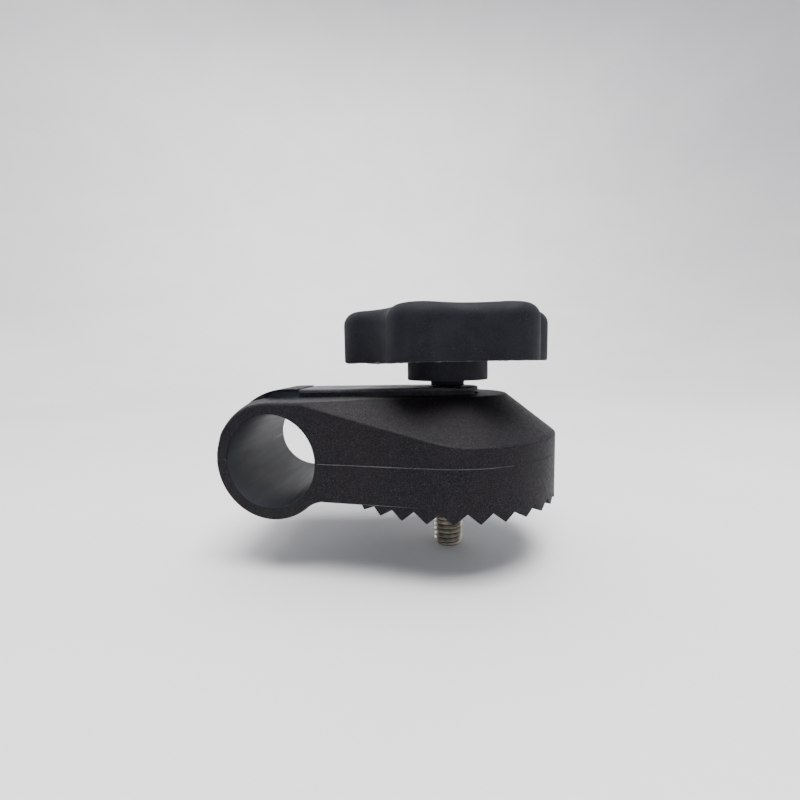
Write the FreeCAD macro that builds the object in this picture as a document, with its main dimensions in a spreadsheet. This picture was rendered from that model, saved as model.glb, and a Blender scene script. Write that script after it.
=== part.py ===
import FreeCAD, Part
import Sketcher
import math
import os
import re
from FreeCAD import Placement, Rotation, Vector

# Umbrella swivel bracket, in millimetres. +Z runs up the knob bolt's axis, the tube ring lies
# towards -X and its bore runs along Y. The origin is on the bolt's axis, in the plane of the
# tooth tips: the face that meets the toothed disc of the part it is screwed to.

SIZES = {
    # Clamp body, seen from the side.
    "bore_radius": 11.2,         # 22 mm tube, with running room
    "bore_relief": 0.4,          # the middle of the bore is relieved, so two lands grip the tube
    "relief_half_length": 9.4,
    "ring_radius": 13.9,
    "ring_reach": 42.5,          # bolt axis to tube axis
    "seam_height": 12.2,         # the two shells part through the tube's axis
    "seam_gap": 0.1,
    "arm_underside": 3.35,
    "ring_fillet": 6.5,
    "top_height": 26.4,
    # Clamp body, seen from above.
    "disc_radius": 28.0,
    "side_angle": 9.1,           # the arm's sides run in from the disc towards the ring
    "flank_angle": 10.0,         # where the flat flanks touch the cone, past square to the arm
    "cone_base_height": 16.5,
    "cone_top_radius": 15.5,
    # Teeth under the disc.
    "tooth_count": 30,
    "tooth_depth": 2.35,
    "tooth_inner_radius": 20.5,
    "tooth_land": 0.24,
    # Raised saddle over the ring, and the pressure plate that runs from it to the knob.
    "saddle_radius": 16.2,
    "saddle_half_width": 8.3,
    "saddle_end": 39.3,          # distance from the bolt axis to the saddle's open end
    "saddle_shoulder": 140.0,    # where the crown's arc ends, from +X about the tube axis
    "saddle_foot": 163.0,        # where the saddle runs out into the ring
    "saddle_root": 120.0,
    "saddle_sink": 0.3,          # how deep the saddle's foot is let into the ring
    "saddle_root_wall": 1.2,     # between the saddle's root and the bore
    "niche_start": 48.0,
    "niche_depth": 2.4,
    "niche_floor": 25.7,
    "niche_roof": 0.45,
    "plate_height": 28.2,
    "plate_lip": 1.0,
    "plate_half_width": 8.2,
    "plate_step": 0.9,
    "plate_seat": 25.4,
    "plate_gap": 0.25,
    "edge_round": 0.45,
    # Cores inside the shells.
    "wall": 2.7,
    "boss_radius": 8.0,
    "rib": 2.0,
    "rib_count": 6,
    "lower_floor": 6.0,
    "upper_roof": 23.5,
    "arm_core_half_width": 20.0,
    "arm_core_start": 10.0,
    "arm_core_end": 27.4,
    "arm_core_roof": 20.3,
    "clearance_radius": 4.6,     # bolt hole through shells and plate
    "peg_radius": 2.0,
    "peg_height": 3.0,
    "peg_gap": 0.08,
    "socket_room": 0.6,          # above the peg
    "peg_boss_radius": 4.0,
    "peg_x": 20.5,
    "peg_y": 12.5,
    # Six-lobed knob.
    "knob_bottom": 35.0,
    "knob_height": 13.1,
    "knob_crest_radius": 27.7,
    "crest_round": 8.0,
    "valley_radius": 22.7,
    "lobe_count": 6,
    "lobe_turn": 40.0,           # first crest, from -Y towards +X
    "knob_top_round": 3.6,
    "knob_wall": 2.6,
    "knob_hollow": 9.8,
    "knob_rib": 1.8,
    "knob_rib_step": 0.4,        # the ribs stop short of the knob's lower edge
    "hub_radius": 10.85,
    "hub_bottom": 30.0,
    "collar_radius": 4.5,
    "collar_bottom": 28.5,
    # M8 knob bolt, moulded into the knob, and the clip that keeps it in the shells.
    "thread_radius": 4.0,
    "shank_radius": 3.6,
    "thread_top": 0.4,           # just under the clip, which sits on the thinner shank
    "bolt_tip": 16.0,
    "tip_chamfer": 0.8,
    "head_flats": 13.0,
    "head_height": 5.3,
    "head_bottom": 38.4,
    "clip_radius": 8.0,
    "clip_bottom": 0.9,
    "clip_thickness": 0.8,
    # How far a cutting tool or an overlapping solid runs past the face it meets.
    "overrun": 1.0,
}

doc = FreeCAD.newDocument("umbrella_swivel_bracket")
sheet = doc.addObject("Spreadsheet::Sheet", "Sizes")
for row, (alias, size) in enumerate(SIZES.items(), start=1):
    sheet.set("A%d" % row, alias)
    sheet.set("B%d" % row, str(size))
    sheet.setAlias("B%d" % row, alias)
doc.recompute()

UPRIGHT = Rotation(Vector(1, 0, 0), 90)        # sketch plane turned to XZ, normal -Y
ALONG_Y = Rotation(Vector(1, 0, 0), -90)       # a primitive's own Z turned to +Y
REACH = 62.0                                   # longer than the body in any direction


def size(alias):
    return float(sheet.get(alias))


def cell(word):
    return "Sizes." + word.group() if word.group() in SIZES else word.group()


def bind(item, **formulas):
    """Bind properties to the sheet: names in a formula are the sheet's aliases."""
    for prop, formula in formulas.items():
        item.setExpression(prop.replace("__", "."), re.sub(r"[a-z]\w*", cell, formula))
    return item


def solid(kind, name, at=(None, None, None), turn=None, **formulas):
    """A Part primitive with its sizes, and its place, bound to the sheet."""
    item = doc.addObject("Part::" + kind, name)
    if turn:
        item.Placement = Placement(Vector(), turn)
    for axis, formula in zip("xyz", at):
        if formula:
            bind(item, **{"Placement__Base__" + axis: formula})
    return bind(item, **formulas)


def joined(name, *shapes):
    item = doc.addObject("Part::MultiFuse", name)
    item.Shapes = shapes
    return item


def common(name, first, second):
    item = doc.addObject("Part::Common", name)
    item.Base = first
    item.Tool = second
    return item


def cut(name, base, tool):
    item = doc.addObject("Part::Cut", name)
    item.Base = base
    item.Tool = tool
    return item


def polar(radius, degrees, centre=(0.0, 0.0)):
    angle = math.radians(degrees)
    return Vector(centre[0] + radius * math.cos(angle), centre[1] + radius * math.sin(angle), 0)


def line(start, end):
    return Part.LineSegment(start, end)


def arc(centre, radius, first, last):
    """Arc counter-clockwise from first to last, in degrees."""
    circle = Part.Circle(Vector(centre[0], centre[1], 0), Vector(0, 0, 1), radius)
    return Part.ArcOfCircle(circle, math.radians(first), math.radians(last))


def circle(radius, centre=(0.0, 0.0)):
    return Part.Circle(Vector(centre[0], centre[1], 0), Vector(0, 0, 1), radius)


def sketch(name, geometry, place=None, **radii):
    """A free sketch. radii binds the radius of the arc or circle with that index in geometry."""
    item = doc.addObject("Sketcher::SketchObject", name)
    item.Placement = place or Placement()
    return fill(item, geometry, radii)


def fill(item, geometry, radii):
    item.addGeometry(geometry, False)
    for label, index in radii.items():
        number = item.addConstraint(Sketcher.Constraint("Radius", index, geometry[index].Radius))
        item.renameConstraint(number, label)
        item.setExpression("Constraints." + label, "Sizes." + label)
    return item


def origin_plane(body, role):
    return next(item for item in body.Origin.OriginFeatures if item.Role == role)


def body_sketch(body, name, role, geometry, height="0", **radii):
    """A sketch on one of the body's own origin planes, lifted along that plane's normal."""
    item = body.newObject("Sketcher::SketchObject", name)
    item.AttachmentSupport = [(origin_plane(body, role), "")]
    item.MapMode = "FlatFace"
    bind(item, AttachmentOffset__Base__z=height)
    return fill(item, geometry, radii)


def body_feature(body, kind, name, profile, **formulas):
    item = body.newObject("PartDesign::" + kind, name)
    item.Profile = profile
    return bind(item, **formulas)


def pattern(body, name, originals, count):
    item = body.newObject("PartDesign::PolarPattern", name)
    item.Originals = originals
    item.Axis = (origin_plane(body, "Z_Axis"), [""])
    item.Angle = 360
    bind(item, Occurrences=count)
    body.Tip = item
    return item


def new_body(label):
    body = doc.addObject("PartDesign::Body", label)
    body.Label = label
    return body


# ---------------------------------------------------------------- outlines shared by the shells
RING_CENTRE = (-size("ring_reach"), size("seam_height"))
SIDE = math.radians(size("side_angle"))


def plan_outline(radius):
    """Disc and tapering arm from above: an arc, and two sides tangent to it."""
    touch = 90 + size("side_angle")
    upper = polar(radius, touch)
    lower = polar(radius, -touch)
    run = REACH + upper.x
    end_upper = Vector(-REACH, upper.y - run * math.tan(SIDE), 0)
    end_lower = Vector(-REACH, -end_upper.y, 0)
    return [arc((0, 0), radius, -touch, touch), line(upper, end_upper),
            line(end_upper, end_lower), line(end_lower, lower)]


def flank_outline(radius):
    """Level line of the upper shell's roof: round the cone, then straight out along the arm."""
    touch = 90 - size("flank_angle")
    upper = polar(radius, touch)
    lower = polar(radius, -touch)
    run = REACH + upper.x
    spread = run * math.tan(math.radians(size("flank_angle")))
    end_upper = Vector(-REACH, upper.y + spread, 0)
    end_lower = Vector(-REACH, -upper.y - spread, 0)
    return [arc((0, 0), radius, -touch, touch), line(upper, end_upper),
            line(end_upper, end_lower), line(end_lower, lower)]


def plan_block(name, foot):
    """The plan outline, extruded far enough to trim a whole shell."""
    item = doc.addObject("Part::Extrusion", name)
    item.Base = sketch(name + "_outline", plan_outline(size("disc_radius")), disc_radius=0)
    item.DirMode = "Normal"
    item.LengthFwd = REACH
    item.Solid = True
    bind(item.Base, Placement__Base__z=foot)
    return item


def side_block(name, profile, half_width=REACH / 2):
    """A side profile in XZ, extruded equally both ways along Y."""
    item = doc.addObject("Part::Extrusion", name)
    item.Base = profile
    item.DirMode = "Normal"
    item.LengthFwd = 2 * half_width
    item.Symmetric = True
    item.Solid = True
    return item


def bore_tool(name):
    """What the tube's bore takes out of a shell: the bore and its relieved middle."""
    bore = solid("Cylinder", name + "_bore", ("-ring_reach", None, "seam_height"), ALONG_Y,
                 Radius="bore_radius")
    bore.Height = REACH
    bore.Placement.Base.y = -REACH / 2
    relief = solid("Cylinder", name + "_relief",
                   ("-ring_reach", "-relief_half_length", "seam_height"), ALONG_Y,
                   Radius="bore_radius + bore_relief", Height="2 * relief_half_length")
    return joined(name, bore, relief)


PEGS = (("near", "-peg_y"), ("far", "peg_y"))


def core(name, foot, roof):
    """The hollow in a shell, round its bolt boss, peg bosses and radial ribs."""
    arm = solid("Box", name + "_arm", ("-arm_core_end", "-arm_core_half_width", foot),
                Length="arm_core_end - arm_core_start", Width="2 * arm_core_half_width",
                Height="min( arm_core_roof ; %s ) - %s" % (roof, foot))
    round_part = solid("Cylinder", name + "_round", (None, None, foot),
                       Radius="disc_radius - wall", Height="min( cone_base_height - overrun ; %s ) - %s"
                       % (roof, foot))
    boss = solid("Cylinder", name + "_boss", (None, None, foot), Radius="boss_radius",
                 Height="%s - %s" % (roof, foot))
    kept = [boss]
    for index in range(int(size("rib_count"))):
        rib = solid("Box", "%s_rib_%d" % (name, index), (None, None, foot),
                    Length="disc_radius", Width="rib", Height="%s - %s" % (roof, foot))
        turn = Rotation(Vector(0, 0, 1), index * 360 / size("rib_count"))
        rib.Placement.Rotation = turn
        shift = turn.multVec(Vector(0, -size("rib") / 2, 0))
        rib.Placement.Base.x = shift.x
        rib.Placement.Base.y = shift.y
        kept.append(rib)
    for label, offset in PEGS:
        kept.append(solid("Cylinder", "%s_peg_boss_%s" % (name, label), ("-peg_x", offset, foot),
                          Radius="peg_boss_radius", Height="%s - %s" % (roof, foot)))
    return [arm, round_part], joined(name + "_kept", *kept)


# ---------------------------------------------------------------- lower shell
def lower_side_profile():
    """Ring's lower half, fillet and arm underside, out past the disc."""
    ring = size("ring_radius")
    fillet = size("ring_fillet")
    underside = size("arm_underside")
    drop = RING_CENTRE[1] - underside + fillet
    across = math.sqrt((ring + fillet) ** 2 - drop ** 2)
    centre = (RING_CENTRE[0] + across, underside - fillet)
    slope = math.degrees(math.atan2(-drop, across))
    top = size("seam_height") - size("seam_gap") / 2
    lean = math.degrees(math.asin(size("seam_gap") / 2 / ring))
    start = polar(ring, 180 + lean, RING_CENTRE)
    level = Vector(centre[0], underside, 0)
    corner = Vector(REACH, underside, 0)
    end = Vector(REACH, top, 0)
    return [arc(RING_CENTRE, ring, 180 + lean, 360 + slope),
            arc(centre, fillet, 90, 180 + slope),
            line(level, corner), line(corner, end), line(end, start)]


def tooth_ring():
    """Annulus with radial V grooves whose sides run in to the axis, so two faces mesh."""
    body = new_body("tooth_ring")
    outline = [circle(size("disc_radius")), circle(size("tooth_inner_radius"))]
    base = body_sketch(body, "annulus", "XY_Plane", outline, disc_radius=0, tooth_inner_radius=1)
    body_feature(body, "Pad", "annulus_pad", base, Length="arm_underside + overrun")
    sections = []
    for label, radius in (("inner", size("tooth_inner_radius") - size("overrun")),
                          ("outer", size("disc_radius") + size("overrun"))):
        middle = size("tooth_depth") / 2
        rise = middle * radius / size("disc_radius")
        half = radius * math.pi / size("tooth_count") - size("tooth_land") / 2
        drop = size("overrun")
        wide = half * (middle + rise + drop) / (2 * rise)
        apex = Vector(0, middle + rise, 0)
        left = Vector(-wide, -drop, 0)
        right = Vector(wide, -drop, 0)
        sections.append(body_sketch(body, "groove_" + label, "YZ_Plane",
                                    [line(apex, left), line(left, right), line(right, apex)],
                                    height=str(radius)))
    groove = body_feature(body, "SubtractiveLoft", "groove", sections[0])
    groove.Sections = [sections[1]]
    groove.Ruled = True
    pattern(body, "grooves", [groove], "tooth_count")
    return body


def lower_shell():
    profile = sketch("lower_profile", lower_side_profile(), Placement(Vector(), UPRIGHT),
                     ring_radius=0, ring_fillet=1)
    outer = common("lower_outer", side_block("lower_side", profile),
                   plan_block("lower_plan", "-tooth_depth"))
    hollows, kept = core("lower_core", "lower_floor", "seam_height")
    hollow = cut("lower_hollow", joined("lower_hollows", *hollows), kept)
    hole = solid("Cylinder", "lower_bolt_hole", Radius="clearance_radius", Height="seam_height")
    tools = joined("lower_tools", hollow, bore_tool("lower_bore"), hole)
    pegs = [solid("Cylinder", "peg_" + label, ("-peg_x", offset, "lower_floor"),
                  Radius="peg_radius", Height="seam_height - lower_floor + peg_height")
            for label, offset in PEGS]
    body = cut("lower_body", joined("lower_solid", outer, tooth_ring()), tools)
    item = joined("lower_whole", body, *pegs)
    item.Refine = True
    item.Label = "lower_shell"
    return item


# ---------------------------------------------------------------- upper shell
def upper_side_profile():
    """Ring's upper half, a top line tangent to it, and the disc's level top."""
    ring = size("ring_radius")
    bottom = size("seam_height") + size("seam_gap") / 2
    lean = math.degrees(math.asin(size("seam_gap") / 2 / ring))
    knee = (-size("cone_top_radius"), size("top_height"))
    away = (knee[0] - RING_CENTRE[0], knee[1] - RING_CENTRE[1])
    bearing = math.degrees(math.atan2(away[1], away[0]))
    touch = bearing + math.degrees(math.acos(ring / math.hypot(*away)))
    start = polar(ring, 180 - lean, RING_CENTRE)
    tangent = polar(ring, touch, RING_CENTRE)
    knee = Vector(knee[0], knee[1], 0)
    far_top = Vector(REACH, knee.y, 0)
    far_bottom = Vector(REACH, bottom, 0)
    return [arc(RING_CENTRE, ring, touch, 180 - lean), line(tangent, knee),
            line(knee, far_top), line(far_top, far_bottom), line(far_bottom, start)]


def roof():
    """Cone round the bolt and the two flat flanks that run on from it towards the ring."""
    sections = []
    for label, radius, height in (("base", "disc_radius", "cone_base_height"),
                                  ("top", "cone_top_radius", "top_height")):
        outline = sketch("roof_" + label, flank_outline(size(radius)), **{radius: 0})
        sections.append(bind(outline, Placement__Base__z=height))
    loft = doc.addObject("Part::Loft", "roof_loft")
    loft.Sections = sections
    loft.Solid = True
    loft.Ruled = True
    foot = doc.addObject("Part::Extrusion", "roof_foot")
    foot.Base = sections[0]
    foot.DirMode = "Normal"
    foot.Solid = True
    foot.Reversed = True
    bind(foot, LengthFwd="cone_base_height")
    return joined("roof", loft, foot)


def saddle_profile():
    """Raised saddle over the ring's crown, running down its outer side."""
    radius = size("saddle_radius")
    centre = RING_CENTRE
    crown = Vector(centre[0], centre[1] + radius, 0)
    shoulder_angle = size("saddle_shoulder")
    shoulder = polar(radius, shoulder_angle, centre)
    foot = polar(size("ring_radius") - size("saddle_sink"), size("saddle_foot"), centre)
    inner = polar(size("bore_radius") + size("saddle_root_wall"), size("saddle_root"), centre)
    edge_top = Vector(-size("saddle_end"), crown.y, 0)
    edge_foot = Vector(-size("saddle_end"), size("plate_seat") - size("plate_gap"), 0)
    return [line(edge_top, crown), arc(centre, radius, 90, shoulder_angle),
            line(shoulder, foot),
            line(foot, inner), line(inner, edge_foot), line(edge_foot, edge_top)]


def saddle():
    block = side_block("saddle_block", sketch("saddle_outline", saddle_profile(),
                       Placement(Vector(), UPRIGHT), saddle_radius=1), size("saddle_half_width"))
    niches = [solid("Box", "niche_" + label, ("-niche_start", offset, "niche_floor"),
                    Length="niche_start - saddle_end + overrun",
                    Width="niche_depth + overrun",
                    Height="saddle_radius + seam_height - niche_roof - niche_floor")
              for label, offset in (("near", "-saddle_half_width - overrun"),
                                    ("far", "saddle_half_width - niche_depth"))]
    skin = solid("Cylinder", "niche_skin", ("-ring_reach", None, "seam_height"), ALONG_Y,
                 Radius="saddle_radius - niche_roof")
    skin.Height = REACH
    skin.Placement.Base.y = -REACH / 2
    ahead = solid("Box", "niche_ahead", ("-ring_reach", None, "seam_height"),
                  Height="saddle_radius - niche_roof")
    ahead.Length = REACH
    ahead.Width = REACH
    ahead.Placement.Base.y = -REACH / 2
    bounds = joined("niche_bounds", skin, ahead)
    return cut("saddle", block, common("niches", joined("niche_pair", *niches), bounds))


def plate_outline(half_width, start, round_radius):
    """Bar with one end rounded about the bolt, from above."""
    upper = Vector(0, half_width, 0)
    lower = Vector(0, -half_width, 0)
    left_upper = Vector(start, half_width, 0)
    left_lower = Vector(start, -half_width, 0)
    return [arc((0, 0), round_radius, -90, 90), line(upper, left_upper),
            line(left_upper, left_lower), line(left_lower, lower)]


def upper_shell():
    profile = sketch("upper_profile", upper_side_profile(), Placement(Vector(), UPRIGHT),
                     ring_radius=0)
    trimmed = common("upper_trimmed", side_block("upper_side", profile),
                     plan_block("upper_plan", "seam_height - overrun"))
    outer = common("upper_outer", trimmed, roof())
    solid_body = joined("upper_solid", outer, saddle())
    hollows, kept = core("upper_core", "seam_height", "upper_roof")
    slope = "( disc_radius - cone_top_radius ) / ( top_height - cone_base_height )"
    rise = "( upper_roof - cone_base_height + overrun )"
    hollows.append(solid("Cone", "upper_core_cone", (None, None, "cone_base_height - overrun"),
                         Radius1="disc_radius - wall", Height=rise,
                         Radius2="disc_radius - wall - %s * %s" % (rise, slope)))
    hollow = cut("upper_hollow", joined("upper_hollows", *hollows), kept)
    hole = solid("Cylinder", "upper_bolt_hole", Radius="clearance_radius", Height="top_height + overrun")
    sockets = [solid("Cylinder", "socket_" + label, ("-peg_x", offset, "seam_height"),
                     Radius="peg_radius + peg_gap", Height="peg_height + socket_room")
               for label, offset in PEGS]
    channel = doc.addObject("Part::Extrusion", "plate_channel")
    width = size("plate_half_width") + size("plate_gap")
    channel.Base = sketch("channel_outline", plate_outline(width, -size("saddle_end"), width))
    channel.DirMode = "Normal"
    channel.Solid = True
    bind(channel, LengthFwd="plate_height - plate_seat + overrun")
    bind(channel.Base, Placement__Base__z="plate_seat")
    item = cut("upper_body", solid_body, joined("upper_tools", hollow, bore_tool("upper_bore"),
                                                hole, channel, *sockets))
    item.Refine = True
    item.Label = "upper_shell"
    return item


# ---------------------------------------------------------------- pressure plate
def clamp_plate():
    """Bar under the knob: a lip on top, a narrower stem that sits in the upper shell's channel."""
    body = new_body("clamp_plate")
    start = -size("saddle_end") + size("plate_gap")
    stem_width = size("plate_half_width") - size("plate_step")
    stem = body_sketch(body, "stem_outline", "XY_Plane",
                       plate_outline(stem_width, start, stem_width), height="plate_seat")
    body_feature(body, "Pad", "stem", stem, Length="plate_height - plate_seat - plate_lip")
    lip_width = size("plate_half_width")
    lip = body_sketch(body, "lip_outline", "XY_Plane",
                      plate_outline(lip_width, start, lip_width),
                      height="plate_height - plate_lip", plate_half_width=0)
    pad = body_feature(body, "Pad", "lip", lip, Length="plate_lip")
    doc.recompute()
    rounded = body.newObject("PartDesign::Fillet", "lip_round")
    rounded.Base = (pad, [face_at(pad.Shape, size("plate_height"))])
    bind(rounded, Radius="edge_round")
    hole = body_sketch(body, "hole_outline", "XY_Plane", [circle(size("clearance_radius"))],
                       height="plate_seat", clearance_radius=0)
    drill = body_feature(body, "Pocket", "hole", hole, Length="plate_height")
    drill.Reversed = True
    return body


def face_at(shape, height):
    """Name of the level face at that height, the largest if there are several."""
    level = [(face.Area, "Face%d" % number) for number, face in enumerate(shape.Faces, start=1)
             if abs(face.BoundBox.ZMin - height) < 1e-6 and abs(face.BoundBox.ZMax - height) < 1e-6]
    return max(level)[1]


# ---------------------------------------------------------------- knob
def lobed_outline(inset):
    """Crests and valleys as tangent arcs. inset moves the whole outline in towards the axis."""
    count = int(size("lobe_count"))
    half = 180 / count
    crest_round = size("crest_round")
    crest_centre = size("knob_crest_radius") - crest_round
    valley = size("valley_radius")
    # The valley's arc touches its two neighbours: solved from the triangle of the two centres.
    lean = 2 * crest_centre * math.cos(math.radians(half))
    valley_round = ((crest_centre ** 2 + valley ** 2 - lean * valley - crest_round ** 2)
                    / (2 * crest_round + lean - 2 * valley))
    valley_centre = valley + valley_round
    geometry = []
    for lobe in range(count):
        bearing = size("lobe_turn") - 90 + lobe * 360 / count
        crest = polar(crest_centre, bearing)
        dip = polar(valley_centre, bearing + half)
        touch = math.degrees(math.atan2(dip.y - crest.y, dip.x - crest.x)) - bearing
        touch = (touch + 180) % 360 - 180
        geometry.append(arc((crest.x, crest.y), crest_round - inset,
                            bearing - touch, bearing + touch))
        back = bearing + touch + 180
        sweep = 2 * (180 - (touch - half)) - 360
        geometry.append(arc((dip.x, dip.y), valley_round + inset, back + sweep, back))
    return geometry


def knob_grip():
    """Hollow six-lobed grip with a hub below, moulded over the bolt's head."""
    body = new_body("knob_grip")
    outline = body_sketch(body, "grip_outline", "XY_Plane", lobed_outline(0), height="knob_bottom",
                          crest_round=0)
    pad = body_feature(body, "Pad", "grip", outline, Length="knob_height")
    doc.recompute()
    top = size("knob_bottom") + size("knob_height")
    rounded = body.newObject("PartDesign::Fillet", "grip_round")
    rounded.Base = (pad, [face_at(pad.Shape, top)])
    bind(rounded, Radius="knob_top_round")
    hollow_shape = lobed_outline(size("knob_wall")) + [circle(size("hub_radius"))]
    hollow = body_sketch(body, "hollow_outline", "XY_Plane", hollow_shape, height="knob_bottom")
    pocket = body_feature(body, "Pocket", "hollow", hollow, Length="knob_hollow")
    pocket.Reversed = True
    half = size("knob_rib") / 2
    inner = size("hub_radius") - size("overrun")
    outer = size("valley_radius") - size("overrun")
    turn = math.radians(size("lobe_turn") - 90 + 180 / size("lobe_count"))
    along = Vector(math.cos(turn), math.sin(turn), 0)
    across = Vector(-along.y, along.x, 0)
    corners = [along * inner - across * half, along * outer - across * half,
               along * outer + across * half, along * inner + across * half]
    sides = [line(corners[number], corners[(number + 1) % 4]) for number in range(4)]
    rib = body_sketch(body, "rib_outline", "XY_Plane", sides, height="knob_bottom + knob_rib_step")
    ribs = body_feature(body, "Pad", "rib", rib, Length="knob_hollow")
    pattern(body, "ribs", [ribs], "lobe_count")
    hub = body_sketch(body, "hub_outline", "XY_Plane", [circle(size("hub_radius"))],
                      height="hub_bottom", hub_radius=0)
    body_feature(body, "Pad", "hub", hub, Length="knob_bottom - hub_bottom + overrun")
    collar = body_sketch(body, "collar_outline", "XY_Plane", [circle(size("collar_radius"))],
                         height="collar_bottom", collar_radius=0)
    body_feature(body, "Pad", "collar", collar, Length="hub_bottom - collar_bottom + overrun")
    shank = body_sketch(body, "shank_outline", "XY_Plane", [circle(size("shank_radius"))],
                        height="collar_bottom", shank_radius=0)
    shank_hole = body_feature(body, "Pocket", "shank_hole", shank,
                              Length="head_bottom - collar_bottom")
    shank_hole.Reversed = True
    head = body_sketch(body, "head_outline", "XY_Plane", hexagon(), height="head_bottom")
    head_pocket = body_feature(body, "Pocket", "head_pocket", head, Length="head_height")
    head_pocket.Reversed = True
    return body


def hexagon():
    radius = size("head_flats") / 2 / math.cos(math.radians(30))
    corners = [polar(radius, 60 * number) for number in range(6)]
    return [line(corners[number], corners[(number + 1) % 6]) for number in range(6)]


def knob_bolt():
    """M8 hex bolt: thread at its free end, a plain shank and a head inside the knob."""
    body = new_body("knob_bolt")
    head = body_sketch(body, "bolt_head_outline", "XY_Plane", hexagon(), height="head_bottom")
    body_feature(body, "Pad", "bolt_head", head, Length="head_height")
    shank = body_sketch(body, "bolt_shank_outline", "XY_Plane", [circle(size("shank_radius"))],
                        shank_radius=0)
    body_feature(body, "Pad", "bolt_shank", shank, Length="head_bottom + overrun")
    thread = body_sketch(body, "bolt_thread_outline", "XY_Plane", [circle(size("thread_radius"))],
                         height="-bolt_tip", thread_radius=0)
    pad = body_feature(body, "Pad", "bolt_thread", thread, Length="bolt_tip + thread_top")
    doc.recompute()
    chamfer = body.newObject("PartDesign::Chamfer", "bolt_tip_chamfer")
    chamfer.Base = (pad, [face_at(pad.Shape, -size("bolt_tip"))])
    bind(chamfer, Size="tip_chamfer")
    return body


def retaining_clip():
    """Push-on washer on the shank, under the lower shell's floor."""
    body = new_body("retaining_clip")
    rings = [circle(size("clip_radius")), circle(size("shank_radius"))]
    outline = body_sketch(body, "clip_outline", "XY_Plane", rings, height="clip_bottom",
                          clip_radius=0, shank_radius=1)
    body_feature(body, "Pad", "clip", outline, Length="clip_thickness")
    return body


parts = [lower_shell(), upper_shell(), clamp_plate(), knob_grip(), knob_bolt(), retaining_clip()]
doc.recompute()

for item in doc.Objects:
    if any(state in ("Invalid", "Error") for state in item.State):
        raise RuntimeError("%s failed: %s" % (item.Name, item.State))
os.makedirs("parts", exist_ok=True)
for item in parts:
    if item.Shape.isNull() or not item.Shape.isValid():
        raise RuntimeError(item.Label + " has no valid shape")
    item.Shape.exportStep("parts/" + item.Label + ".step")
    box = item.Shape.BoundBox
    print("%-16s solids %d volume %9.1f  x %7.2f %7.2f  y %7.2f %7.2f  z %7.2f %7.2f" % (
        item.Label, len(item.Shape.Solids), item.Shape.Volume,
        box.XMin, box.XMax, box.YMin, box.YMax, box.ZMin, box.ZMax))
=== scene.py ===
import bmesh
import bpy
import math
import numpy as np
from mathutils import Matrix, Vector


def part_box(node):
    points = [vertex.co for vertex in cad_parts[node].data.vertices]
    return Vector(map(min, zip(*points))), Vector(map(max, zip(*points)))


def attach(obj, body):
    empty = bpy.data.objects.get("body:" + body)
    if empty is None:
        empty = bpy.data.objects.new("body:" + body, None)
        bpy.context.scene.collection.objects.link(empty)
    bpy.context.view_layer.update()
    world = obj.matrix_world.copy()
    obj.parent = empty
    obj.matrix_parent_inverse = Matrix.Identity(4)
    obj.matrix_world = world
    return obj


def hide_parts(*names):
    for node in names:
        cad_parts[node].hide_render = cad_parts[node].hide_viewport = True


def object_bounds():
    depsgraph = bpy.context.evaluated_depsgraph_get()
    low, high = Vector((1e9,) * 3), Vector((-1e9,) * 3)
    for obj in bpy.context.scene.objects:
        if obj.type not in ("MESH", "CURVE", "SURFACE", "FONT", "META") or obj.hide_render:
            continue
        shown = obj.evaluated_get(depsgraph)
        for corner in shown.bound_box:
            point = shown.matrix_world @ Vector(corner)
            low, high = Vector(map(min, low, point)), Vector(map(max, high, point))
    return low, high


# Umbrella swivel bracket. Metres, in the CAD frame: +Z up the knob bolt, -X towards the tube
# ring, the ring's bore along Y, the origin in the plane of the tooth tips.
MM = 0.001

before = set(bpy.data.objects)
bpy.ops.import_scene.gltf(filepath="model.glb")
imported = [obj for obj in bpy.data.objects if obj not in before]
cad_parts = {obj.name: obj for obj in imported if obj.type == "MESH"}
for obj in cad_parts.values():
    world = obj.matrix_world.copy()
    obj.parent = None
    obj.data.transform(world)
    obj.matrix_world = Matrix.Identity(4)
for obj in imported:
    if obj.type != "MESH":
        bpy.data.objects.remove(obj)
cad_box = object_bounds()

# Sizes of the CAD model that its boxes don't give, in millimetres.
RING_X, RING_Z = -42.5, 12.2                # the tube ring's axis
RING_RADIUS, BORE_RADIUS = 13.9, 11.2
BORE_WALL = 11.9                            # everything nearer the ring's axis is bore
RELIEF_HALF_LENGTH = 9.4                    # of the bore's wider middle
SADDLE_RADIUS, SADDLE_HALF_WIDTH = 16.2, 8.3
SADDLE_SHOULDER, SADDLE_FOOT = 140, 163     # degrees about the ring's axis, from +X
NICHE_START, NICHE_END, NICHE_FLOOR = -48.6, -38.9, 25.7
UPPER_SEAM, LOWER_SEAM = 12.25, 12.15       # the faces of the two shells
SEAM_CLOSED = 0.04                          # how far each comes to meet the other in the bore
DISC_RADIUS, TOOTH_INNER_RADIUS = 28.0, 20.5
ARM_UNDERSIDE = 3.35
ARM_LEAN = math.radians(9.1)                # of the arm's sides, towards the ring
SHANK_RADIUS, THREAD_TOP = 3.6, 0.4         # of the knob bolt
HEAD_BOTTOM, HEAD_FLATS = 38.4, 13.0
KNOB_BOTTOM = 35.0


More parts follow.
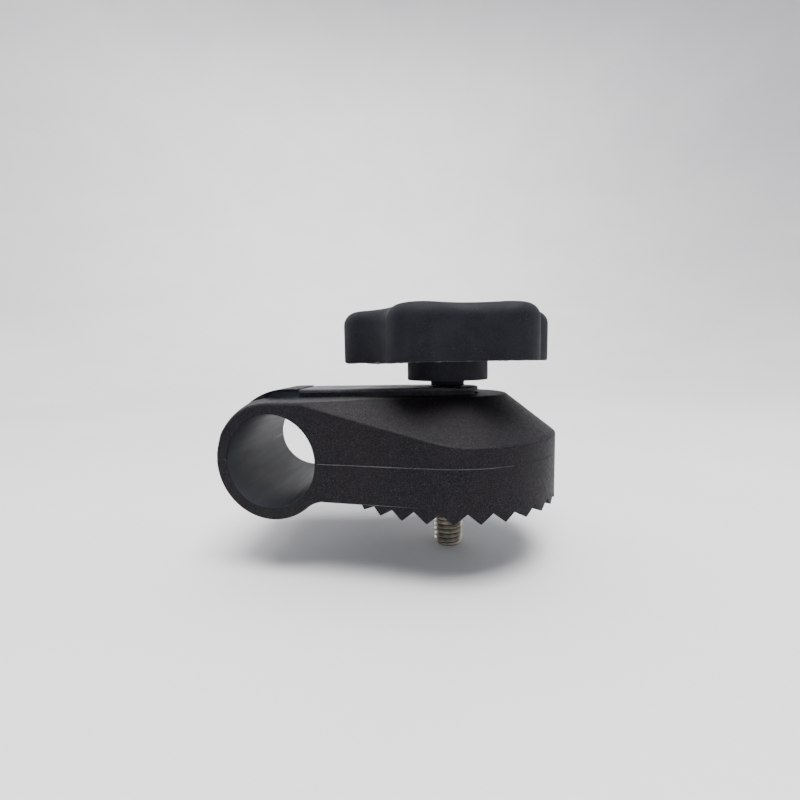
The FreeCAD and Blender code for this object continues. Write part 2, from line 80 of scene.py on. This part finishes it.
# ---------------------------------------------------------------- materials
class Surface:
    """A Principled material built from nodes in the object's own coordinates."""

    def __init__(self, name, **sockets):
        """Uniform values are set on the shader's sockets, with _ for a space in their names."""
        self.material = bpy.data.materials.new(name)
        self.material.use_nodes = True
        self.tree = self.material.node_tree
        self.shader = self.tree.nodes["Principled BSDF"]
        for socket, value in sockets.items():
            self.shader.inputs[socket.replace("_", " ")].default_value = value
        self.place = self.tree.nodes.new("ShaderNodeTexCoord").outputs["Object"]

    def node(self, kind, **settings):
        made = self.tree.nodes.new("ShaderNode" + kind)
        for key, value in settings.items():
            setattr(made, key, value)
        return made

    def put(self, socket, value):
        if isinstance(value, bpy.types.NodeSocket):
            self.tree.links.new(value, socket)
        else:
            socket.default_value = value

    def noise(self, size, detail=2.0, roughness=0.5, stretch=(1, 1, 1)):
        """Noise whose features are about size across, in metres."""
        mapping = self.node("Mapping")
        self.put(mapping.inputs["Vector"], self.place)
        mapping.inputs["Scale"].default_value = stretch
        made = self.node("TexNoise")
        self.put(made.inputs["Vector"], mapping.outputs["Vector"])
        made.inputs["Scale"].default_value = 1 / size
        made.inputs["Detail"].default_value = detail
        made.inputs["Roughness"].default_value = roughness
        return made.outputs["Fac"]

    def ramp(self, factor, low, high, dark=0.0, light=1.0):
        """Smoothly from dark at low to light at high."""
        made = self.node("MapRange", interpolation_type="SMOOTHSTEP")
        self.put(made.inputs["Value"], factor)
        for socket, value in zip(("From Min", "From Max", "To Min", "To Max"),
                                 (low, high, dark, light)):
            made.inputs[socket].default_value = value
        return made.outputs["Result"]

    def maths(self, operation, first, second):
        made = self.node("Math", operation=operation)
        self.put(made.inputs[0], first)
        self.put(made.inputs[1], second)
        return made.outputs[0]

    def blend(self, factor, first, second):
        made = self.node("Mix", data_type="RGBA")
        self.put(made.inputs["Factor"], factor)
        for socket, value in (("A", first), ("B", second)):
            colour = next(i for i in made.inputs if i.name == socket and i.type == "RGBA")
            self.put(colour, value if isinstance(value, bpy.types.NodeSocket) else (*value, 1))
        return next(o for o in made.outputs if o.type == "RGBA")

    def off_axis(self):
        """Distance in metres from the bolt's axis."""
        parts = self.node("SeparateXYZ")
        self.put(parts.inputs[0], self.place)
        squares = [self.maths("MULTIPLY", parts.outputs[axis], parts.outputs[axis])
                   for axis in "XY"]
        return self.maths("SQRT", self.maths("ADD", *squares), 0.0)

    def edges(self, radius):
        """1 on convex and concave edges, 0 on open surfaces."""
        rounded = self.node("Bevel", samples=4)
        rounded.inputs["Radius"].default_value = radius
        true = self.node("NewGeometry").outputs["Normal"]
        dot = self.node("VectorMath", operation="DOT_PRODUCT")
        self.put(dot.inputs[0], rounded.outputs["Normal"])
        self.put(dot.inputs[1], true)
        return self.ramp(dot.outputs["Value"], 0.995, 0.86)

    def height(self, *layers):
        """Bumps in a chain, each a (height, depth in metres) pair."""
        normal = None
        for value, depth in layers:
            bump = self.node("Bump")
            bump.inputs["Distance"].default_value = depth
            self.put(bump.inputs["Height"], value)
            if normal:
                self.put(bump.inputs["Normal"], normal)
            normal = bump.outputs["Normal"]
        self.put(self.shader.inputs["Normal"], normal)

    def colour(self, value):
        self.put(self.shader.inputs["Base Color"], value)

    def rough(self, value):
        self.put(self.shader.inputs["Roughness"], value)


def grained_plastic():
    """Glass-filled nylon: a fine grain with painted glints, faint brown tints, paler worn edges.
    """
    made = Surface("grained_plastic", Specular_IOR_Level=0.12)
    grain = made.noise(0.26 * MM, 2.0, 0.65)
    coarse = made.noise(0.85 * MM, 2.0, 0.5)
    tint = made.ramp(made.noise(14 * MM, 2.0), 0.42, 0.62)
    ground = made.blend(tint, (0.0022, 0.0023, 0.0036), (0.0046, 0.0028, 0.0040))
    lit = made.blend(made.ramp(grain, 0.42, 0.66), ground, (0.0118, 0.0110, 0.0146))
    # Painted highlight: sparse light specks in the colour stand in for glints of light on the
    # grain.
    glint_specks = made.ramp(made.noise(0.15 * MM, 1.0, 0.4), 0.60, 0.74)
    with_painted_glints = made.blend(made.maths("MULTIPLY", glint_specks, 0.45), lit, (0.075, 0.066, 0.068))
    worn = made.maths("MULTIPLY", made.edges(0.35 * MM), made.ramp(coarse, 0.40, 0.66))
    made.colour(made.blend(made.maths("MULTIPLY", worn, 0.6), with_painted_glints, (0.050, 0.048, 0.052)))
    made.rough(made.ramp(coarse, 0.3, 0.7, 0.50, 0.62))
    made.height((grain, 0.045 * MM), (coarse, 0.02 * MM))
    return made.material


def smooth_plastic(name, ground, lifted, gloss, scuff_amount, specular):
    """Moulded nylon with a fine matte skin, soft blotches and small scuffs."""
    made = Surface(name, Specular_IOR_Level=specular)
    skin = made.noise(0.20 * MM, 2.0, 0.6)
    blotch = made.noise(5 * MM, 3.0, 0.55)
    fine = made.maths("MULTIPLY", made.ramp(made.noise(0.30 * MM, 2.0, 0.7), 0.46, 0.66), 0.45)
    clear = made.blend(made.ramp(blotch, 0.36, 0.66), ground, lifted)
    base = made.blend(fine, clear, tuple(1.9 * level for level in lifted))
    scuffs = made.ramp(made.noise(0.55 * MM, 3.0, 0.7, (1, 1, 2.6)), 0.64, 0.74)
    patches = made.ramp(made.noise(9 * MM, 2.0), 0.46, 0.62)
    scuffed = made.maths("MULTIPLY", made.maths("MULTIPLY", scuffs, patches), scuff_amount)
    marked = made.blend(scuffed, base, (0.07, 0.07, 0.08))
    worn = made.maths("MULTIPLY", made.edges(0.3 * MM), 0.45)
    made.colour(made.blend(worn, marked, (0.040, 0.042, 0.047)))
    made.rough(made.ramp(blotch, 0.3, 0.7, gloss, gloss + 0.14))
    made.height((skin, 0.016 * MM), (scuffs, 0.012 * MM))
    return made.material


def bore_plastic_painted_reflection():
    """The bore's wall, rubbed smooth by the tube that slides through it; its bluish colour is a
    painted reflection of cool grey surroundings.
    """
    made = Surface("bore_plastic_painted_reflection", Specular_IOR_Level=0.24)
    skin = made.noise(0.35 * MM, 2.0, 0.5)
    streak = made.noise(1.6 * MM, 3.0, 0.6, (1, 0.12, 1))
    # Painted reflection: the bluish tone, lighter than the shell's ground, stands in for the
    # surroundings that the smooth wall reflects.
    made.colour(made.blend(made.ramp(streak, 0.36, 0.68), (0.0082, 0.0094, 0.0150),
                           (0.0108, 0.0120, 0.0178)))
    made.rough(made.ramp(streak, 0.3, 0.7, 0.46, 0.53))
    made.height((skin, 0.008 * MM), (streak, 0.0015 * MM))
    return made.material


def plated_steel(name, bright, dull, root=None):
    """Zinc-plated steel: warm, brushed round the axis, with painted shade darkening the thread's
    roots.
    """
    made = Surface(name, Metallic=1.0)
    brushed = made.noise(0.22 * MM, 3.0, 0.6, (0.5, 0.5, 3.0))
    stain = made.noise(1.6 * MM, 3.0, 0.6)
    colour = made.blend(made.ramp(stain, 0.40, 0.66), bright, dull)
    if root:
        low, high = root
        # Painted shade: nearer the axis, in the thread's roots, the colour darkens where shade
        # falls.
        colour = made.blend(made.ramp(made.off_axis(), low, high), (0.055, 0.050, 0.042), colour)
    made.colour(colour)
    made.rough(made.ramp(brushed, 0.3, 0.7, 0.27, 0.44))
    made.height((brushed, 0.012 * MM))
    return made.material


shell_finish = grained_plastic()
bore_painted_reflection = bore_plastic_painted_reflection()
# Painted light: the niche gets a lighter, bluish copy of the plastic, standing in for the light
# that its recess keeps out.
painted_light_niche = smooth_plastic("niche_painted_light_plastic", (0.022, 0.026, 0.040), (0.030, 0.035, 0.052),
                              0.45, 0.3, 0.3)
plate_finish = smooth_plastic("plate_plastic", (0.030, 0.030, 0.036), (0.047, 0.047, 0.054),
                              0.42, 0.5, 0.18)
knob_finish = smooth_plastic("knob_plastic", (0.0048, 0.0052, 0.0082), (0.0090, 0.0096, 0.0135),
                             0.56, 1.0, 0.11)
# Painted highlight: a much lighter copy of the plastic for the flash strips, standing in for the
# light that their thin edges catch.
painted_highlight_finish = smooth_plastic("painted_highlight_plastic", (0.020, 0.020, 0.023), (0.085, 0.085, 0.090),
                              0.45, 0.8, 0.3)
bolt_finish = plated_steel("bolt_steel", (0.44, 0.41, 0.34), (0.30, 0.275, 0.225),
                           (3.26 * MM, 3.60 * MM))
clip_finish = plated_steel("clip_steel", (0.47, 0.47, 0.48), (0.30, 0.30, 0.31))


for node, material in (("lower_shell", shell_finish), ("upper_shell", shell_finish),
                       ("clamp_plate", plate_finish), ("knob_grip", knob_finish),
                       ("knob_bolt", bolt_finish), ("retaining_clip", clip_finish)):
    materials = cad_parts[node].data.materials
    materials.clear()
    materials.append(material)


def round_edges(piece, radius):
    """A small moulded radius on every edge of a CAD node."""
    weld = piece.modifiers.new("weld", "WELD")
    weld.merge_threshold = 0.001 * MM
    bevel = piece.modifiers.new("edge_round", "BEVEL")
    bevel.width = radius
    bevel.segments = 3
    bevel.limit_method = "ANGLE"
    bevel.angle_limit = math.radians(24)
    bevel.use_clamp_overlap = False
    bevel.harden_normals = True


for node, radius in (("clamp_plate", 0.15), ("knob_grip", 0.25)):
    round_edges(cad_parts[node], radius * MM)


# ---------------------------------------------------------------- pieces built here
def add_piece(name, vertices, faces, material, body, smooth=True):
    """A mesh piece that rides on a body, from vertices in millimetres."""
    data = bpy.data.meshes.new(name)
    data.from_pydata([Vector(vertex) * MM for vertex in vertices], [], faces)
    data.validate()
    mesh = bmesh.new()
    mesh.from_mesh(data)
    bmesh.ops.remove_doubles(mesh, verts=mesh.verts, dist=0.0005 * MM)
    bmesh.ops.recalc_face_normals(mesh, faces=mesh.faces)
    mesh.to_mesh(data)
    mesh.free()
    for face in data.polygons:
        face.use_smooth = smooth
    piece = bpy.data.objects.new(name, data)
    bpy.context.scene.collection.objects.link(piece)
    data.materials.append(material)
    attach(piece, body)
    return piece


def threaded_bolt():
    """The knob bolt with its real helical M8 thread, a plain shank and a hex head."""
    low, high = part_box("knob_bolt")
    tip, top = low.z / MM, high.z / MM
    pitch, major, minor = 1.25, 4.0, 3.28
    runout, around = 0.9, 72
    tip_radius, tip_slope = minor - 0.08, 0.95
    # One pitch of the thread from root to root: share of the pitch, share of the depth.
    tooth = ((0.0, 0.0), (0.07, 0.10), (0.14, 0.30), (0.38, 0.93), (0.44, 1.0), (0.56, 1.0),
             (0.62, 0.93), (0.86, 0.30), (0.93, 0.10), (1.0, 0.0))
    columns = len(tooth)
    steps = (int((THREAD_TOP - tip) / pitch) + 2) * around
    vertices, faces = [], []

    def hexagon(angle):
        return HEAD_FLATS / 2 / math.cos(angle % (math.pi / 3) - math.pi / 6)

    def ring(radius, height):
        first = len(vertices)
        for index in range(around):
            angle = 2 * math.pi * index / around
            reach = radius(angle) if callable(radius) else radius
            vertices.append((reach * math.cos(angle), reach * math.sin(angle), height))
        return list(range(first, first + around))

    for step in range(steps + 1):
        angle = 2 * math.pi * step / around
        start = tip - pitch + pitch * step / around
        for share, depth in tooth:
            height = min(max(start + pitch * share, tip), THREAD_TOP)
            radius = minor + (major - minor) * depth
            fade = min(max((THREAD_TOP - height) / runout, 0.0), 1.0)
            radius = SHANK_RADIUS + (radius - SHANK_RADIUS) * fade
            radius = min(radius, tip_radius + (height - tip) * tip_slope)
            vertices.append((radius * math.cos(angle), radius * math.sin(angle), height))
    for step in range(steps):
        for column in range(columns - 1):
            corner = step * columns + column
            faces.append((corner, corner + columns, corner + columns + 1, corner + 1))
    # The shank, the head and the tip's face, on the same angular steps.
    rings = [ring(SHANK_RADIUS, THREAD_TOP), ring(SHANK_RADIUS, HEAD_BOTTOM),
             ring(hexagon, HEAD_BOTTOM), ring(hexagon, top)]
    for below, above in zip(rings, rings[1:]):
        for index in range(around):
            after = (index + 1) % around
            faces.append((below[index], below[after], above[after], above[index]))
    faces.append(tuple(rings[-1]))
    faces.append(tuple(reversed(ring(tip_radius, tip))))
    piece = add_piece("threaded_bolt", vertices, faces, bolt_finish, "knob")
    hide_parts("knob_bolt")


threaded_bolt()


def node_mesh(node):
    """A CAD node's mesh as a bmesh in millimetres, with its corners joined up."""
    mesh = bmesh.new()
    mesh.from_mesh(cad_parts[node].data)
    bmesh.ops.scale(mesh, vec=(1000, 1000, 1000), verts=mesh.verts)
    bmesh.ops.remove_doubles(mesh, verts=mesh.verts, dist=0.002)
    return mesh


def ease_bore(mesh, seam, rise):
    """Flattens the step between the bore's lands and relief, and closes its seam to a hair."""
    relief_kept = 0.02
    for vertex in mesh.verts:
        across, above = vertex.co.x - RING_X, vertex.co.z - RING_Z
        reach = math.hypot(across, above)
        if reach > BORE_WALL:
            continue
        share = 1
        if abs(vertex.co.y) < RELIEF_HALF_LENGTH + 0.5:
            share = (BORE_RADIUS + relief_kept * max(reach - BORE_RADIUS, 0)) / reach
        vertex.co.x = RING_X + across * share
        if abs(vertex.co.z - seam) < 0.002:
            vertex.co.z += rise
        else:
            vertex.co.z = RING_Z + above * share


def shell_piece(name, mesh, node, body):
    """Puts a finished bmesh, in millimetres, in the place of a shell's CAD node."""
    finishes = (shell_finish, bore_painted_reflection, painted_light_niche)
    mesh.normal_update()
    for face in mesh.faces:
        middle = face.calc_center_median()
        reach = math.hypot(middle.x - RING_X, middle.z - RING_Z)
        # Niche faces take the plastic with painted light, and bore faces take the one with a
        # painted reflection.
        in_niche = (NICHE_START < middle.x < NICHE_END and middle.z > NICHE_FLOOR - 0.15
                    and 5 < abs(middle.y) < SADDLE_HALF_WIDTH - 0.15
                    and reach < SADDLE_RADIUS - 0.3)
        in_bore = reach < BORE_WALL and abs(face.normal.y) < 0.6
        finish = bore_painted_reflection if in_bore else painted_light_niche if in_niche else shell_finish
        face.material_index = finishes.index(finish)
    bmesh.ops.scale(mesh, vec=(MM, MM, MM), verts=mesh.verts)
    data = bpy.data.meshes.new(name)
    mesh.to_mesh(data)
    mesh.free()
    piece = bpy.data.objects.new(name, data)
    bpy.context.scene.collection.objects.link(piece)
    for material in finishes:
        data.materials.append(material)
    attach(piece, body)
    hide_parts(node)


def smoothstep(low, high, value):
    """0 below low, 1 above high, and smooth between."""
    share = np.clip((value - low) / (high - low), 0, 1)
    return share * share * (3 - 2 * share)


def relax(points, edges, weight, passes):
    """Laplacian smoothing of the weighted points, in place."""
    ends = np.concatenate((edges[:, 0], edges[:, 1]))
    others = np.concatenate((edges[:, 1], edges[:, 0]))
    near = weight[ends] > 0
    ends, others = ends[near], others[near]
    degree = np.maximum(np.bincount(ends, minlength=len(points)), 1)
    for _ in range(passes):
        for axis in range(3):
            mean = np.bincount(ends, points[others, axis], len(points)) / degree
            step = np.where(weight > 0, mean - points[:, axis], 0)
            points[:, axis] += 0.5 * weight * step


def upper_shell():
    """The upper shell with moulded radii, full cheeks beside the saddle and a soft brow."""
    skirt = 2.0                     # hung below the seam, so that the remesh doesn't round it
    voxel, smoothing = 0.25, 5
    niche_depth_kept, cheek_rise = 0.45, 1.3
    source = node_mesh("upper_shell")
    for vertex in source.verts:
        if vertex.co.z < UPPER_SEAM + 0.01:
            vertex.co.z -= skirt
    data = bpy.data.meshes.new("upper_draft")
    source.to_mesh(data)
    source.free()
    draft = bpy.data.objects.new("upper_draft", data)
    bpy.context.scene.collection.objects.link(draft)
    remesh = draft.modifiers.new("remesh", "REMESH")
    remesh.mode = "VOXEL"
    remesh.voxel_size = voxel
    smooth = draft.modifiers.new("smooth", "SMOOTH")
    smooth.factor = 0.5
    smooth.iterations = smoothing
    graph = bpy.context.evaluated_depsgraph_get()
    fine = bpy.data.meshes.new_from_object(draft.evaluated_get(graph))
    bpy.data.objects.remove(draft)
    points = np.zeros(len(fine.vertices) * 3)
    fine.vertices.foreach_get("co", points)
    points = points.reshape(-1, 3)
    edges = np.zeros(len(fine.edges) * 2, int)
    fine.edges.foreach_get("vertices", edges)
    edges = edges.reshape(-1, 2)

    across = points[:, 0] - RING_X
    above = points[:, 2] - RING_Z
    reach = np.hypot(across, above)
    bearing = np.degrees(np.arctan2(above, across))
    aside = np.abs(points[:, 1])
    # The niche in the saddle's side is made shallower, so that light reaches its back wall.
    niche = ((aside > 5) & (aside < SADDLE_HALF_WIDTH) & (points[:, 2] > NICHE_FLOOR - 0.5)
             & (points[:, 0] > NICHE_START) & (points[:, 0] < NICHE_END)
             & (reach < SADDLE_RADIUS - 0.25))
    shallow = SADDLE_HALF_WIDTH - niche_depth_kept * (SADDLE_HALF_WIDTH - aside)
    points[:, 1] = np.where(niche, np.sign(points[:, 1]) * shallow, points[:, 1])
    # The cheeks rise beside the saddle and fade out into its top and its foot.
    crown = RING_RADIUS + (SADDLE_RADIUS - RING_RADIUS) * (
        1 - smoothstep(SADDLE_SHOULDER, SADDLE_FOOT, bearing))
    room = np.clip((crown - reach) / np.maximum(crown - RING_RADIUS, 0.3), 0, 1)
    cheek = (smoothstep(94, 119, bearing) * (1 - smoothstep(134, 166, bearing))
             * (1 - smoothstep(13, 22.5, aside)) * smoothstep(12.6, 13.3, reach) * room
             * smoothstep(SADDLE_HALF_WIDTH - 0.3, SADDLE_HALF_WIDTH + 0.3, aside)
             * (1 - smoothstep(-30, -27, points[:, 0])))
    share = 1 + cheek_rise * cheek / np.maximum(reach, 1)
    points[:, 0] = RING_X + across * share
    points[:, 2] = RING_Z + above * share
    # The brow, where the cheeks meet the flanks, is relaxed into a soft curve.
    reach = np.hypot(points[:, 0] - RING_X, points[:, 2] - RING_Z)
    brow = ((1 - smoothstep(-40, -26, points[:, 0])) * smoothstep(19, 22, points[:, 2])
            * smoothstep(12.3, 12.9, reach) * smoothstep(13, 16, aside))
    relax(points, edges, brow, 60)
    fine.vertices.foreach_set("co", points.ravel())

    mesh = bmesh.new()
    mesh.from_mesh(fine)
    parted = bmesh.ops.bisect_plane(mesh, geom=mesh.verts[:] + mesh.edges[:] + mesh.faces[:],
                                    plane_co=(0, 0, UPPER_SEAM), plane_no=(0, 0, 1),
                                    clear_inner=True)
    rim = [item for item in parted["geom_cut"] if isinstance(item, bmesh.types.BMEdge)]
    bmesh.ops.triangle_fill(mesh, edges=rim, use_beauty=True)
    for face in mesh.faces:
        face.smooth = True
    for edge in rim:
        edge.smooth = False
    ease_bore(mesh, UPPER_SEAM, -SEAM_CLOSED)
    shell_piece("upper_shell_moulded", mesh, "upper_shell", "upper")


def lower_shell():
    """The lower shell with small radii, but not on its seam, its teeth or the bore's relief."""
    mesh = node_mesh("lower_shell")
    for face in mesh.faces:
        face.smooth = True
    sharp = [edge for edge in mesh.edges if edge.calc_face_angle(0) > math.radians(25)]
    for edge in sharp:
        edge.smooth = False

    def on_seam(edge):
        return min(vertex.co.z for vertex in edge.verts) >= LOWER_SEAM - 0.3

    def on_teeth(edge):
        return all(vertex.co.z < ARM_UNDERSIDE + 0.05
                   and TOOTH_INNER_RADIUS - 0.5 < vertex.co.xy.length < DISC_RADIUS + 0.1
                   for vertex in edge.verts)

    def on_relief(edge):
        return all(math.hypot(vertex.co.x - RING_X, vertex.co.z - RING_Z) < BORE_WALL
                   and abs(vertex.co.y) < RELIEF_HALF_LENGTH + 0.5 for vertex in edge.verts)

    plain = [edge for edge in sharp
             if not (on_seam(edge) or on_teeth(edge) or on_relief(edge))]
    bmesh.ops.bevel(mesh, geom=plain, offset=0.22, segments=3, profile=0.5, affect="EDGES",
                    clamp_overlap=False, harden_normals=False)
    ease_bore(mesh, LOWER_SEAM, SEAM_CLOSED)
    shell_piece("lower_shell_moulded", mesh, "lower_shell", "lower")


upper_shell()
lower_shell()


def ribbon(name, path, profile, material, body):
    """A closed strip: profile(step) gives its cross-section at each point of the path."""
    sections = [profile(step) for step in range(len(path))]
    vertices = [corner for section in sections for corner in section]
    count = len(sections[0])
    last = len(vertices) - count
    faces = []
    for first in range(0, last, count):
        for corner in range(count):
            after = (corner + 1) % count
            faces.append((first + corner, first + after, first + count + after,
                          first + count + corner))
    faces.append(tuple(range(count)))
    faces.append(tuple(reversed(range(last, last + count))))
    add_piece(name, vertices, faces, material, body)


def highlighted_flash_strip(name, side, path, height, most_proud, seed):
    """Uneven moulding flash along a path in the painted-highlight colour, fading at both ends.
    side is -1 near, 1 far.

    The path is the near side's, and the far side's is its mirror image.
    """
    least_proud, least_half, most_half = 0.01, 0.03, 0.05
    depth, fade_in, fade_out = 0.25, 6, 30
    limit = DISC_RADIUS - 0.001
    rough = np.random.default_rng(seed).uniform(0.7, 1.3, len(path))
    rough = np.convolve(rough, np.ones(3) / 3, "same")

    def section(step):
        before, after = path[max(step - 1, 0)], path[min(step + 1, len(path) - 1)]
        out = (after - before).normalized().cross(Vector((0, 0, 1)))
        fade = (smoothstep(0, fade_in, step)
                * smoothstep(0, fade_out, len(path) - 1 - step) * rough[step])
        proud = float(least_proud + most_proud * fade)
        half = float(least_half + most_half * fade)
        inner, outer = path[step] - depth * out, path[step] + proud * out
        return [(point.x, side * min(-point.y, limit), height + rise)
                for point, rise in ((inner, -half), (outer, -half / 2), (outer, half / 2),
                                    (inner, half))]

    ribbon(name, path, section, painted_highlight_finish, "lower")


def on_disc(angle):
    return Vector((DISC_RADIUS * math.cos(angle), DISC_RADIUS * math.sin(angle), 0))


def arm_highlight_flashes():
    """Flash along the seam, to past the cone, and a thin strip along the lower edges of the
    arm's sides, all in the painted-highlight colour; the edge strip is a painted highlight of
    the rounded edge.
    """
    # The arm's near side runs from the ring to where it touches the disc's circle.
    touch = -math.pi / 2 - ARM_LEAN
    start, corner = Vector((-31.2, -23.37, 0)), on_disc(touch)
    seam = [start.lerp(corner, share) for share in np.linspace(0, 1, 60)]
    seam += [on_disc(angle) for angle in np.linspace(touch, math.radians(-62), 40)[1:]]
    edge = [start.lerp(corner, share) for share in np.linspace(0.02, 0.88, 60)]
    # The edge strip is a painted highlight: the light line along the arm's rounded lower edge.
    for name, path, height, proud, seed in (
            ("seam_highlight_flash", seam, LOWER_SEAM + 0.01, 0.11, 11),
            ("edge_highlight_strip", edge, ARM_UNDERSIDE + 0.06, 0.05, 21)):
        highlighted_flash_strip(name + "_near", -1, path, height, proud, seed)
        highlighted_flash_strip(name + "_far", 1, path, height, proud, seed + 1)


def knob_rim_highlight_flash():
    """The ragged moulding flash that hangs from the knob's lower rim, in the painted-highlight
    colour.
    """
    inside_rim, count = 20, 900
    rim = {}
    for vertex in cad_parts["knob_grip"].data.vertices:
        x, y, z = vertex.co / MM
        if abs(z - KNOB_BOTTOM) < 0.02 and math.hypot(x, y) > inside_rim:
            angle = round(math.atan2(y, x), 4)
            rim[angle] = max(rim.get(angle, 0), math.hypot(x, y))
    angles = sorted(rim)
    bearings = np.linspace(-math.pi, math.pi, count, endpoint=False)
    reach = np.interp(bearings, angles, [rim[angle] for angle in angles], period=2 * math.pi)
    # Layers of noise, from long waves to single nicks: length in steps and height.
    random = np.random.default_rng(5)
    ragged = np.zeros(count)
    for size, amount in ((90, 0.10), (30, 0.10), (9, 0.07), (3, 0.05)):
        coarse = random.uniform(0, 1, count // size)
        ragged += amount * np.interp(np.arange(count) / size, np.arange(count // size), coarse,
                                     period=count // size)
    drop = 0.08 + 5.0 * np.clip(ragged - 0.14, 0, 1) ** 1.2
    vertices, faces = [], []
    for bearing, out, fall in zip(bearings, reach, drop):
        for inset, rise in ((0.22, 0.05), (0.03, 0.05), (0.06, -fall), (0.16, -fall)):
            radius = out - inset
            vertices.append((radius * math.cos(bearing), radius * math.sin(bearing),
                             KNOB_BOTTOM + rise))
    for step in range(count):
        after = (step + 1) % count
        for corner in range(4):
            following = (corner + 1) % 4
            faces.append((step * 4 + corner, step * 4 + following, after * 4 + following,
                          after * 4 + corner))
    add_piece("knob_rim_highlight_flash", vertices, faces, painted_highlight_finish, "knob", smooth=False)


arm_highlight_flashes()
knob_rim_highlight_flash()


# ---------------------------------------------------------------- floor, light and camera
def cove():
    """A pale floor that curves up into a wall all round, open at the top."""
    floor = cad_box[0][2]
    flat, bend, top, count = 0.55, 0.9, 1.7, 96
    profile = [(0.1, floor), (0.3, floor), (flat, floor)]
    profile += [(flat + bend * math.sin(a), floor + bend * (1 - math.cos(a)))
                for a in np.radians(np.linspace(5, 90, 18))]
    profile.append((flat + bend, floor + top))
    mesh = bmesh.new()
    rings = [[mesh.verts.new((radius * math.cos(a), radius * math.sin(a), height))
              for a in np.linspace(0, 2 * math.pi, count, endpoint=False)]
             for radius, height in profile]
    mesh.faces.new(rings[0])
    for low, high in zip(rings, rings[1:]):
        for index in range(count):
            after = (index + 1) % count
            mesh.faces.new((high[index], high[after], low[after], low[index]))
    data = bpy.data.meshes.new("cove")
    mesh.to_mesh(data)
    mesh.free()
    for face in data.polygons:
        face.use_smooth = True
    item = bpy.data.objects.new("cove", data)
    bpy.context.scene.collection.objects.link(item)
    made = Surface("cove", Roughness=0.85, Specular_IOR_Level=0.2)
    mottle = made.noise(0.12, 2.0)
    made.colour(made.blend(made.ramp(mottle, 0.3, 0.7), (0.70, 0.705, 0.725),
                           (0.73, 0.735, 0.75)))
    data.materials.append(made.material)


WARM, COOL = (1.0, 0.99, 0.98), (0.95, 0.98, 1.0)
OBJECT = (0, 0, 0.02)
WALL = (-0.30, 1.45, 0.35)


def area_light(name, at, aim, width, depth, watts, tint):
    """A soft box of width by depth metres that faces the point aim."""
    data = bpy.data.lights.new(name, "AREA")
    data.shape = "RECTANGLE"
    data.size = width
    data.size_y = depth
    data.energy = watts
    data.color = tint
    item = bpy.data.objects.new(name, data)
    item.location = at
    item.rotation_euler = (Vector(aim) - Vector(at)).to_track_quat("-Z", "Y").to_euler()
    bpy.context.scene.collection.objects.link(item)


cove()
area_light("overhead", (-0.04, 0.14, 0.80), OBJECT, 0.9, 0.6, 8.0, WARM)
area_light("key", (0.10, -0.25, 0.76), OBJECT, 0.5, 0.35, 12.0, WARM)
area_light("left", (-0.80, 0.30, 0.45), OBJECT, 0.5, 0.5, 1.4, COOL)
area_light("right", (0.80, 0.30, 0.45), OBJECT, 0.5, 0.5, 1.4, COOL)
area_light("backdrop", (-0.15, 0.60, 0.85), WALL, 0.9, 0.4, 14.6, WARM)

world = bpy.data.worlds.new("studio")
world.use_nodes = True
sky = world.node_tree.nodes["Background"].inputs
sky["Color"].default_value = (0.93, 0.95, 1.0, 1)
sky["Strength"].default_value = 0.07
bpy.context.scene.world = world

# The camera looks along +Y, turned by yaw to the right, tipped down by pitch, then rolled.
STAND = Vector((-5.096, -114.310, 35.432)) * MM
yaw, pitch, roll = map(math.radians, (-4.0089, 5.4948, 0.9455))
forward = Vector((math.sin(yaw) * math.cos(pitch), math.cos(yaw) * math.cos(pitch),
                  -math.sin(pitch)))
right = Vector((math.cos(yaw), -math.sin(yaw), 0))
down = forward.cross(right)
across = math.cos(roll) * right + math.sin(roll) * down
below = math.cos(roll) * down - math.sin(roll) * right
camera = bpy.data.objects.new("camera", bpy.data.cameras.new("camera"))
camera.data.sensor_width = 36
camera.data.lens = 18.654
camera.data.clip_start = 0.01
camera.matrix_world = Matrix.Translation(STAND) @ Matrix(
    (across, -below, -forward)).transposed().to_4x4()
bpy.context.scene.collection.objects.link(camera)
bpy.context.scene.camera = camera
